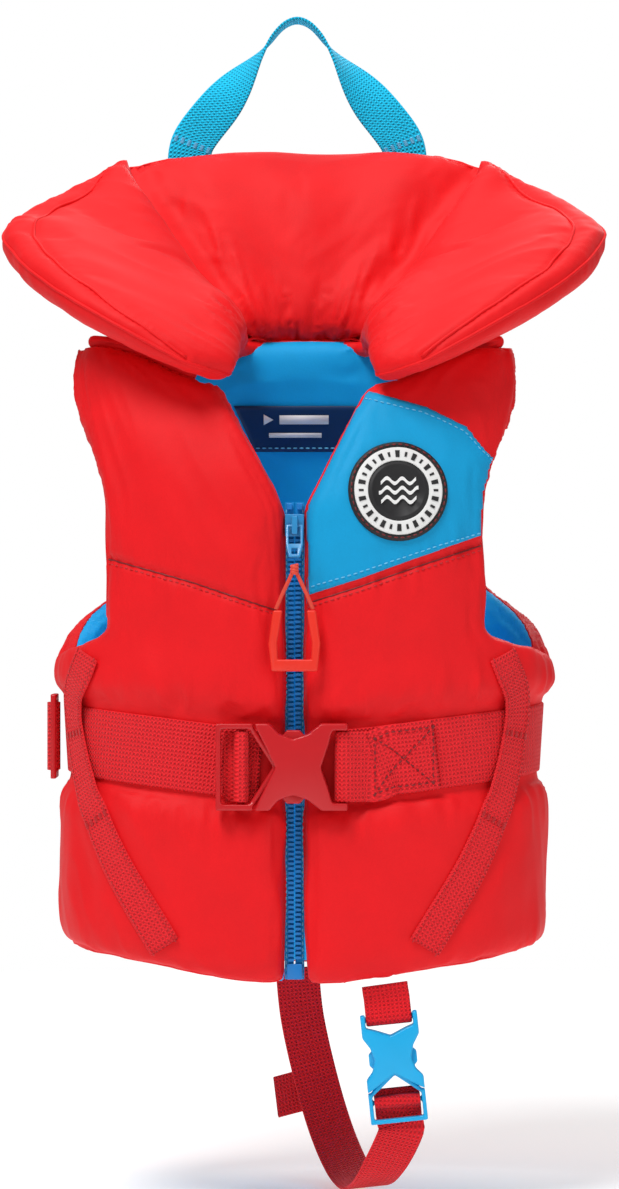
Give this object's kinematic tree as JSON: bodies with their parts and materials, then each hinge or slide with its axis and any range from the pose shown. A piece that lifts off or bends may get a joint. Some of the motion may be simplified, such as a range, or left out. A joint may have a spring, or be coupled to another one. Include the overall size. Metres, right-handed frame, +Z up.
{
  "type": "infant life jacket",
  "caption": "Infant foam life jacket: front panels joined by a zip, a back panel, a pillow collar with a grab handle, a buckled waist belt and a buckled crotch strap.",
  "frame": {"origin": "middle of the torso opening at hem height, where the wearer's waist goes through", "axes": "-Y is the wearer's front, +Z is up along the torso, +X is the wearer's left"},
  "size_m": [0.3376, 0.2025, 0.665],
  "materials": {
    "red_nylon": "plain-weave nylon, matte with a faint sheen",
    "blue_nylon": "plain-weave nylon, matte with a faint sheen",
    "lining_nylon": "plain-weave lining, matte",
    "foam": "closed-cell foam, matte",
    "red_webbing": "ribbed polyester webbing",
    "crotch_webbing": "ribbed polyester webbing",
    "blue_webbing": "ribbed polyester webbing",
    "red_acetal": "moulded, satin",
    "blue_acetal": "moulded, satin",
    "zip_tape": "woven zip tape",
    "zip_teeth": "moulded zip teeth, satin",
    "slider_blue": "painted die-casting, semi-gloss",
    "pull_cord": "braided cord",
    "grip_orange": "moulded, satin",
    "badge_rubber": "moulded soft rubber",
    "badge_white": "moulded soft rubber",
    "label_navy": "woven satin label"
  },
  "bodies": {
    "vest": {"left_front_shell": "red_nylon", "left_front_foam": "foam", "left_front_lining": "lining_nylon", "right_front_shell": "red_nylon", "right_front_foam": "foam", "right_front_lining": "lining_nylon", "back_shell": "red_nylon", "back_foam": "foam", "back_lining": "lining_nylon", "left_shoulder_strap": "red_nylon", "right_shoulder_strap": "red_nylon", "chest_yoke": "blue_nylon", "badge_base": "badge_rubber", "badge_ring": "badge_white", "badge_emblem": "badge_white", "size_label": "label_navy", "zip_tape_left": "zip_tape", "zip_tape_right": "zip_tape", "zip_teeth_left": "zip_teeth", "zip_teeth_right": "zip_teeth", "zip_stop_left": "zip_teeth", "zip_stop_right": "zip_teeth", "zip_bottom_box": "zip_teeth", "waist_belt": "red_webbing", "belt_buckle_loop": "red_webbing", "waist_buckle_female": "red_acetal", "left_diagonal_strap": "red_webbing", "right_diagonal_strap": "red_webbing", "back_belt_keeper": "red_webbing", "crotch_strap": "crotch_webbing", "crotch_front_tab": "crotch_webbing", "crotch_strap_tail": "crotch_webbing", "crotch_buckle_female": "blue_acetal"},
    "collar": {"collar_outer_cover": "red_nylon", "collar_head_cover": "red_nylon", "collar_foam_center": "foam", "collar_foam_left": "foam", "collar_foam_right": "foam"},
    "handle": {"grab_handle": "blue_webbing"},
    "slider": {"zip_slider": "slider_blue"},
    "pull_tab": {"zip_pull_tab": "slider_blue"},
    "pull_grip": {"zip_pull_cord": "pull_cord", "zip_pull_grip": "grip_orange"},
    "waist_male": {"waist_buckle_male": "red_acetal", "waist_adjuster_wrap": "red_webbing"},
    "waist_upper_arm": {"waist_latch_upper": "red_acetal"},
    "waist_lower_arm": {"waist_latch_lower": "red_acetal"},
    "crotch_male": {"crotch_buckle_male": "blue_acetal", "crotch_adjuster_wrap": "crotch_webbing"},
    "crotch_upper_arm": {"crotch_latch_upper": "blue_acetal"},
    "crotch_lower_arm": {"crotch_latch_lower": "blue_acetal"},
    "triglide": {"belt_triglide": "red_acetal", "triglide_wrap": "red_webbing"}
  },
  "joints": [
    {"name": "collar_tilt", "type": "hinge", "parent": "vest", "child": "collar", "pos_m": [0, 0.046, 0.343], "axis": [-1, 0, 0], "range_deg": [0, 25]},
    {"name": "handle_flop", "type": "hinge", "parent": "collar", "child": "handle", "pos_m": [-0.004, 0.094, 0.4595], "axis": [1, 0, 0], "range_deg": [-75, 60], "stiffness_Nm_per_rad": 0.02},
    {"name": "zip_slide", "type": "slide", "parent": "vest", "child": "slider", "axis": [0, 0, -1], "range_m": [0, 0.028]},
    {"name": "pull_tab_swing", "type": "hinge", "parent": "slider", "child": "pull_tab", "pos_m": [-0.005, -0.0805, 0.236], "axis": [-1, 0, 0], "range_deg": [0, 90]},
    {"name": "pull_grip_swing", "type": "hinge", "parent": "pull_tab", "child": "pull_grip", "pos_m": [-0.005, -0.093, 0.2125], "axis": [-1, 0, 0], "range_deg": [0, 90]},
    {"name": "waist_release", "type": "slide", "parent": "vest", "child": "waist_male", "axis": [-1, 0, 0], "range_m": [0, 0.032]},
    {"name": "waist_upper_press", "type": "hinge", "parent": "waist_male", "child": "waist_upper_arm", "pos_m": [-0.0211, -0.0908, 0.1205], "axis": [0, 1, 0], "range_deg": [0, 7], "stiffness_Nm_per_rad": 0.3},
    {"name": "waist_lower_press", "type": "hinge", "parent": "waist_male", "child": "waist_lower_arm", "pos_m": [-0.0211, -0.0908, 0.0915], "axis": [0, 1, 0], "range_deg": [-7, 0], "stiffness_Nm_per_rad": 0.3},
    {"name": "crotch_release", "type": "slide", "parent": "vest", "child": "crotch_male", "axis": [0.1045, 0, -0.9945], "range_m": [0, 0.026]},
    {"name": "crotch_upper_press", "type": "hinge", "parent": "crotch_male", "child": "crotch_upper_arm", "pos_m": [0.04019, -0.0782, -0.06613], "axis": [0, 1, 0], "range_deg": [0, 7], "stiffness_Nm_per_rad": 0.2},
    {"name": "crotch_lower_press", "type": "hinge", "parent": "crotch_male", "child": "crotch_lower_arm", "pos_m": [0.05921, -0.0782, -0.06413], "axis": [0, 1, 0], "range_deg": [-7, 0], "stiffness_Nm_per_rad": 0.2},
    {"name": "triglide_slide", "type": "slide", "parent": "vest", "child": "triglide", "axis": [0, 1, 0], "range_m": [-0.006, 0.006]}
  ],
  "couplings": [
    {"joint": "waist_lower_press", "follows": "waist_upper_press", "ratio": -1},
    {"joint": "crotch_lower_press", "follows": "crotch_upper_press", "ratio": -1}
  ]
}
